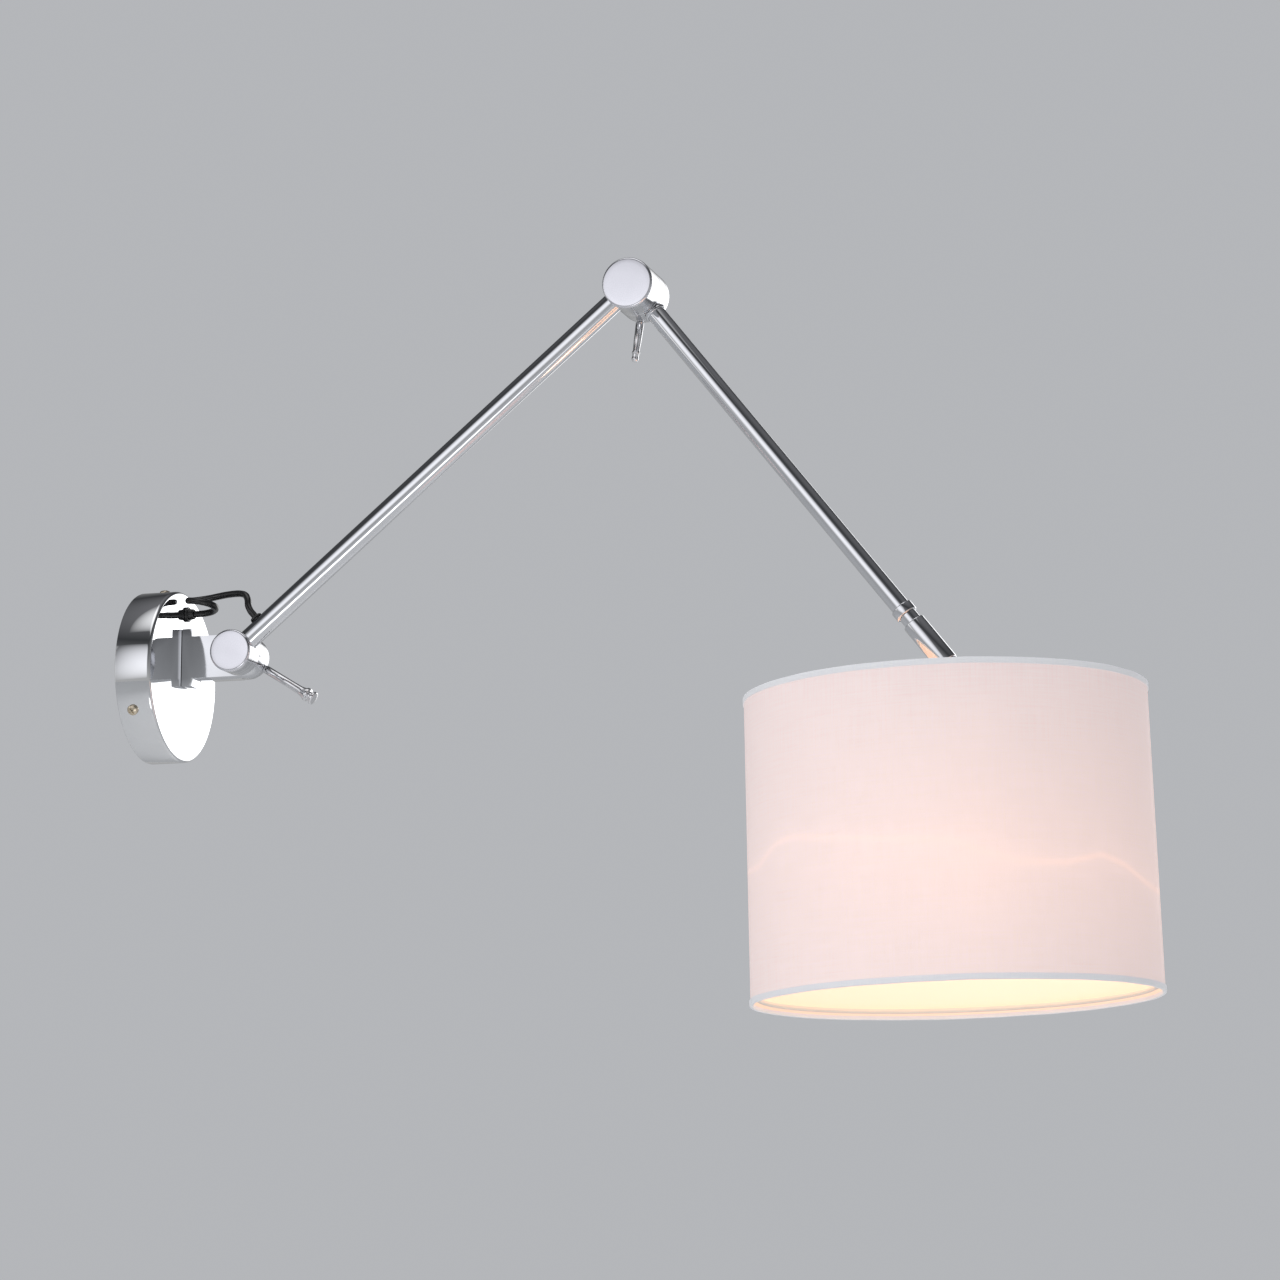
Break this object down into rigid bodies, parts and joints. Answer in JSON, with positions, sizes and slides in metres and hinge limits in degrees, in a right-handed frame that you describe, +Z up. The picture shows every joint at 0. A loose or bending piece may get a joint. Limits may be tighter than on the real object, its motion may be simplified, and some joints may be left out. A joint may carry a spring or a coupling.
{
  "type": "swing arm wall sconce",
  "caption": "Swing arm wall sconce with a round canopy, tube arms on clamped knuckle joints, a turning head and a fabric drum shade.",
  "frame": {"origin": "centre of the wall plate back face, where the sconce meets the wall", "axes": "+X out of the wall, +Z up, +Y to the right of someone who faces +X; the arms move in planes parallel to XZ"},
  "size_m": [0.6664, 0.2556, 0.4833],
  "materials": {
    "chrome": "mirror-polished chrome plate",
    "zinc_steel": "zinc-plated steel",
    "nickel_screw": "warm nickel plate",
    "brass": "plain brass",
    "black_flex": "glossy black sheath",
    "white_nylon": "moulded nylon",
    "lampholder_plastic": "moulded thermoplastic",
    "shade_fabric": "fine woven fabric on a stiff liner",
    "shade_trim": "folded fabric tape",
    "painted_wire": "white painted wire",
    "opal_glass": "opal glass"
  },
  "bodies": {
    "root": {"wall_plate": "zinc_steel", "canopy": "chrome", "canopy_screw_1": "nickel_screw", "canopy_screw_2": "nickel_screw", "canopy_screw_3": "nickel_screw", "terminal_block": "white_nylon", "earth_screw": "brass", "pivot_bracket": "chrome", "foot_screw_lower": "zinc_steel", "foot_screw_upper": "zinc_steel", "cord_grommet": "black_flex", "cord_loop": "black_flex", "base_axle": "zinc_steel"},
    "lower_arm": {"base_knuckle": "chrome", "base_cover": "chrome", "base_washer": "white_nylon", "lower_tube": "chrome", "cord_bushing": "black_flex", "elbow_knuckle_near": "chrome", "elbow_cover": "chrome", "elbow_washer": "white_nylon"},
    "upper_arm": {"elbow_knuckle_far": "chrome", "elbow_nipple": "zinc_steel", "upper_tube": "chrome", "tube_ferrule": "chrome", "end_ring": "chrome", "swivel_stem": "chrome"},
    "base_clamp": {"base_clamp_nut": "chrome", "base_lever": "chrome"},
    "elbow_clamp": {"elbow_clamp_nut": "chrome", "elbow_lever": "chrome"},
    "head": {"swivel_sleeve": "chrome", "swivel_set_screw": "zinc_steel", "hinge_fork": "chrome", "hinge_bolt": "zinc_steel", "hinge_thumb_nut": "chrome"},
    "shade": {"holder_bracket": "zinc_steel", "bracket_screw": "zinc_steel", "holder_cap": "lampholder_plastic", "holder_shell": "lampholder_plastic", "shade_ring_nut_upper": "lampholder_plastic", "shade_ring_nut_lower": "lampholder_plastic", "bulb_cap": "brass", "bulb_glass": "opal_glass", "shade_drum": "shade_fabric", "shade_top_trim": "shade_trim", "shade_bottom_trim": "shade_trim", "shade_wire_frame": "painted_wire", "shade_bottom_ring": "painted_wire"}
  },
  "joints": [
    {"name": "base_pitch", "type": "hinge", "parent": "root", "child": "lower_arm", "pos_m": [0.0657, -0.0121, 0.0124], "axis": [0, -1, 0], "range_deg": [-30, 45], "deforming": ["cord_loop"]},
    {"name": "elbow_pitch", "type": "hinge", "parent": "lower_arm", "child": "upper_arm", "pos_m": [0.33481, -0.002, 0.23821], "axis": [0, -1, 0], "range_deg": [-35, 60]},
    {"name": "base_clamp_turn", "type": "hinge", "parent": "root", "child": "base_clamp", "pos_m": [0.0657, 0.011, 0.0124], "axis": [0, -1, 0], "range_deg": [-20, 20]},
    {"name": "elbow_clamp_turn", "type": "hinge", "parent": "upper_arm", "child": "elbow_clamp", "pos_m": [0.33481, 0.0165, 0.23821], "axis": [0, -1, 0], "range_deg": [-20, 20]},
    {"name": "head_swivel", "type": "hinge", "parent": "upper_arm", "child": "head", "pos_m": [0.52116, 0.0052, 0.0031], "axis": [0.6211, 0, -0.7837], "range_deg": [-40, 40]},
    {"name": "shade_tilt", "type": "hinge", "parent": "head", "child": "shade", "pos_m": [0.54227, 0.0052, -0.02354], "axis": [0, -1, 0], "range_deg": [-12, 12]}
  ]
}
